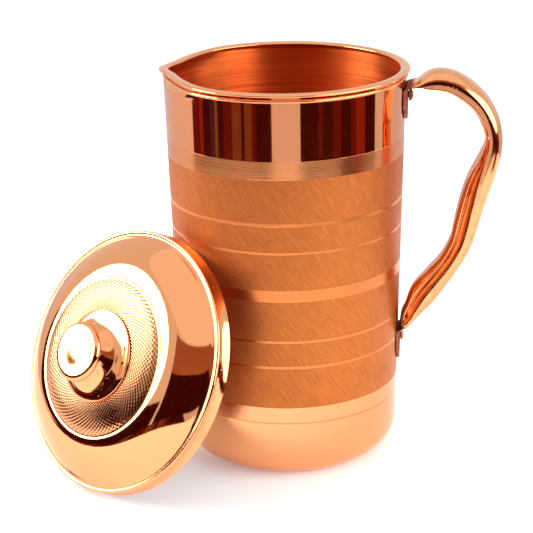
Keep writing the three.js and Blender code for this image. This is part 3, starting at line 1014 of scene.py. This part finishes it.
def lid_pieces(polished, dull):
    frame = lid_frame()
    under = under_copper(frame)
    section, under_from = lid_section()
    turned_piece(
        "lid_dome", "lid_cover", section, LID_AROUND, [lid_copper(frame), under], frame,
        "lid", under_from, 60,
    )
    section, inside_from = band_section()
    turned_piece(
        "lid_band", "lid_skirt_band", section, LID_AROUND, [polished, under], frame,
        "lid", inside_from,
    )
    turned_piece(
        "knob_trumpet", "knob_foot", foot_section(), KNOB_AROUND, [polished], frame,
        "lid",
    )
    turned_piece(
        "knob_button", "knob_cap", cap_section(), KNOB_AROUND, [polished], frame,
        "lid",
    )
    cover_low = RING_H - 0.9 - SHEET
    turned_piece(
        "knob_pin", "knob_stud", stud_section(cover_low), RIVET_AROUND, [dull], frame,
        "lid",
    )
    washer = washer_section(STUD_HOLE_R, STUD_WASHER_R, cover_low - GAP, 0.2)
    turned_piece(
        "pin_washer", "knob_washer", washer, STUD_WASHER_AROUND, [dull], frame,
        "lid",
    )


# ---- Camera and studio ----


def aimed(spot, target):
    """A frame at a spot, looking at a target along its -Z."""
    look = (target - spot).to_track_quat("-Z", "Y").to_matrix().to_4x4()
    return Matrix.Translation(spot) @ look


def camera():
    data = bpy.data.cameras.new("camera")
    data.sensor_width = 36
    data.lens = CAMERA_LENS
    data.clip_start = 0.05
    data.clip_end = 50
    obj = add_object("camera", data)
    roll = Matrix.Rotation(math.radians(CAMERA_ROLL), 4, "Z")
    obj.matrix_world = aimed(Vector(CAMERA_SPOT) * MM, Vector(CAMERA_TARGET) * MM) @ roll
    bpy.context.scene.camera = obj


def stage_mesh(name, points, faces, color, strength):
    """Part of the set, matt and glowing a little in its own colour."""
    material = bpy.data.materials.new(name)
    material.use_nodes = True
    tree = material.node_tree
    bsdf = tree.nodes["Principled BSDF"]
    bsdf.inputs["Base Color"].default_value = (*color, 1)
    bsdf.inputs["Roughness"].default_value = 0.9
    bsdf.inputs["Specular IOR Level"].default_value = 0
    bsdf.inputs["Emission Color"].default_value = (*color, 1)
    bsdf.inputs["Emission Strength"].default_value = strength
    mesh = bpy.data.meshes.new(name)
    mesh.from_pydata(points, [], faces)
    mesh.materials.append(material)
    obj = add_object(name, mesh)
    return obj


def flag(name, start, end, edges, color):
    """A cloth that only reflections see, a sector in degrees from the front.

    The edges are the radius and height of its two long sides.
    """
    points = []
    faces = []
    for i in range(FLAG_STEPS + 1):
        a = math.radians(-90 + start + (end - start) * i / FLAG_STEPS)
        for radius, z in edges:
            points.append((radius * math.cos(a), radius * math.sin(a), z))
        if i:
            faces.append((2 * i - 2, 2 * i - 1, 2 * i + 1, 2 * i))
    obj = stage_mesh(name, points, faces, color, FLAG_GLOW)
    obj.visible_camera = False
    obj.visible_diffuse = False
    obj.visible_shadow = False
    obj.visible_transmission = False


def soft_light(name, spot, width, height, power):
    data = bpy.data.lights.new(name, "AREA")
    data.shape = "ELLIPSE"
    data.size = width
    data.size_y = height
    data.energy = power
    obj = add_object(name, data)
    obj.matrix_world = aimed(Vector(spot), Vector(LIGHTS_AIM))
    obj.visible_camera = False


def floor():
    corners = ((-1, -1), (1, -1), (1, 1), (-1, 1))
    points = [(FLOOR_HALF * x, FLOOR_HALF * y, FLOOR_Z) for x, y in corners]
    stage_mesh("floor", points, [(0, 1, 2, 3)], (0.9, 0.9, 0.9), 0.2)


def floor_flags():
    """Cloths round the jug on the floor: dark ones and one pale one in front, pale behind."""
    dark = (0.025, 0.003, 0.002)
    brown = (0.1, 0.03, 0.012)
    red = (0.12, 0.012, 0.006)
    violet = (0.035, 0.01, 0.03)
    gold = (0.11, 0.05, 0.006)
    wine = (0.06, 0.005, 0.004)
    pale = (0.4, 0.36, 0.39)
    sectors = (
        (-88.5, -79, wine), (-79, -75, red), (-75, -66, dark), (-66, -61, violet),
        (-61, -58, gold), (-58, -52, dark), (-52, -43, wine), (-43, -34, brown),
        (-34, -31, dark), (-31, -24, brown), (-24, -20, wine), (-20, -6, dark),
        (-6, 19.5, pale), (19.5, 36, dark), (36, 40, wine), (40, 50, dark),
        (50, 58, wine), (58, 68, dark), (68, 74, wine), (74, 84, red), (84, 97, dark),
        (97, 271.5, pale),
    )
    for i, (start, end, color) in enumerate(sectors):
        inner = FLOOR_FLAG_NEARER if 58 <= start <= 74 else FLOOR_FLAG_NEAR
        edges = ((inner, FLOOR_FLAG_Z), (FLOOR_FLAG_FAR, FLOOR_FLAG_Z))
        flag(f"floor_flag_{i}", start, end, edges, color)


def wall_flags():
    """Upright cloths round the set."""
    dark = (0.025, 0.003, 0.002)
    rust = (0.25, 0.1, 0.05)
    flag("flag_front_low", -40, 84, ((2.6, 0.0), (2.6, 1.2)), dark)
    flag("flag_front_high", -40, 70, ((2.62, 1.2), (2.62, 2.4)), rust)
    flag("flag_left_low", -100, -44, ((2.6, 0.0), (2.6, 0.58)), dark)


def lights():
    """One soft light on each side, and eight discs overhead, one round another, whose
    sum fades outwards."""
    soft_light("soft_left", (-1.65, -0.2, 0.9), 1.35, 1.1, 31)
    soft_light("soft_right", (1.55, -0.6, 0.68), 2.4, 1.3, 32)
    for i in range(8):
        across = 0.6 + 0.4 * i
        power = 0.45 * across * across
        soft_light(f"soft_top_{i}", TOP_LIGHT_SPOT, across, across, power)


def white_world():
    """A white world, brighter to the camera than to the metal."""
    world = bpy.data.worlds.new("studio")
    world.use_nodes = True
    back = world.node_tree.nodes["Background"]
    back.inputs["Color"].default_value = (1, 1, 1, 1)
    seen = world.node_tree.nodes.new("ShaderNodeLightPath").outputs["Is Camera Ray"]
    level = world.node_tree.nodes.new("ShaderNodeMapRange")
    level.inputs["To Min"].default_value = WORLD_FOR_METAL
    level.inputs["To Max"].default_value = WORLD_FOR_CAMERA
    world.node_tree.links.new(seen, level.inputs["Value"])
    world.node_tree.links.new(level.outputs["Result"], back.inputs["Strength"])
    bpy.context.scene.world = world


def studio():
    floor()
    floor_flags()
    wall_flags()
    lights()
    white_world()
    view = bpy.context.scene.view_settings
    view.view_transform = "Standard"
    view.look = "None"


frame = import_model()
camera()
studio()
polished = polished_copper()
handle_finish = handle_copper()
dull = dull_copper()
jug_body()
outer_shell(handle_finish)
grip_plate(handle_finish)
rivet("upper_rivet_head", "upper_rivet", UPPER_RIVET_Z, UPPER_HEAD, [handle_finish])
rivet("lower_rivet_head", "lower_rivet", LOWER_RIVET_Z, LOWER_HEAD, [handle_finish])
rivet_washer("upper_washer", "upper_rivet_burr", UPPER_RIVET_Z, [dull])
rivet_washer("lower_washer", "lower_rivet_burr", LOWER_RIVET_Z, [dull])
lid_pieces(polished, dull)
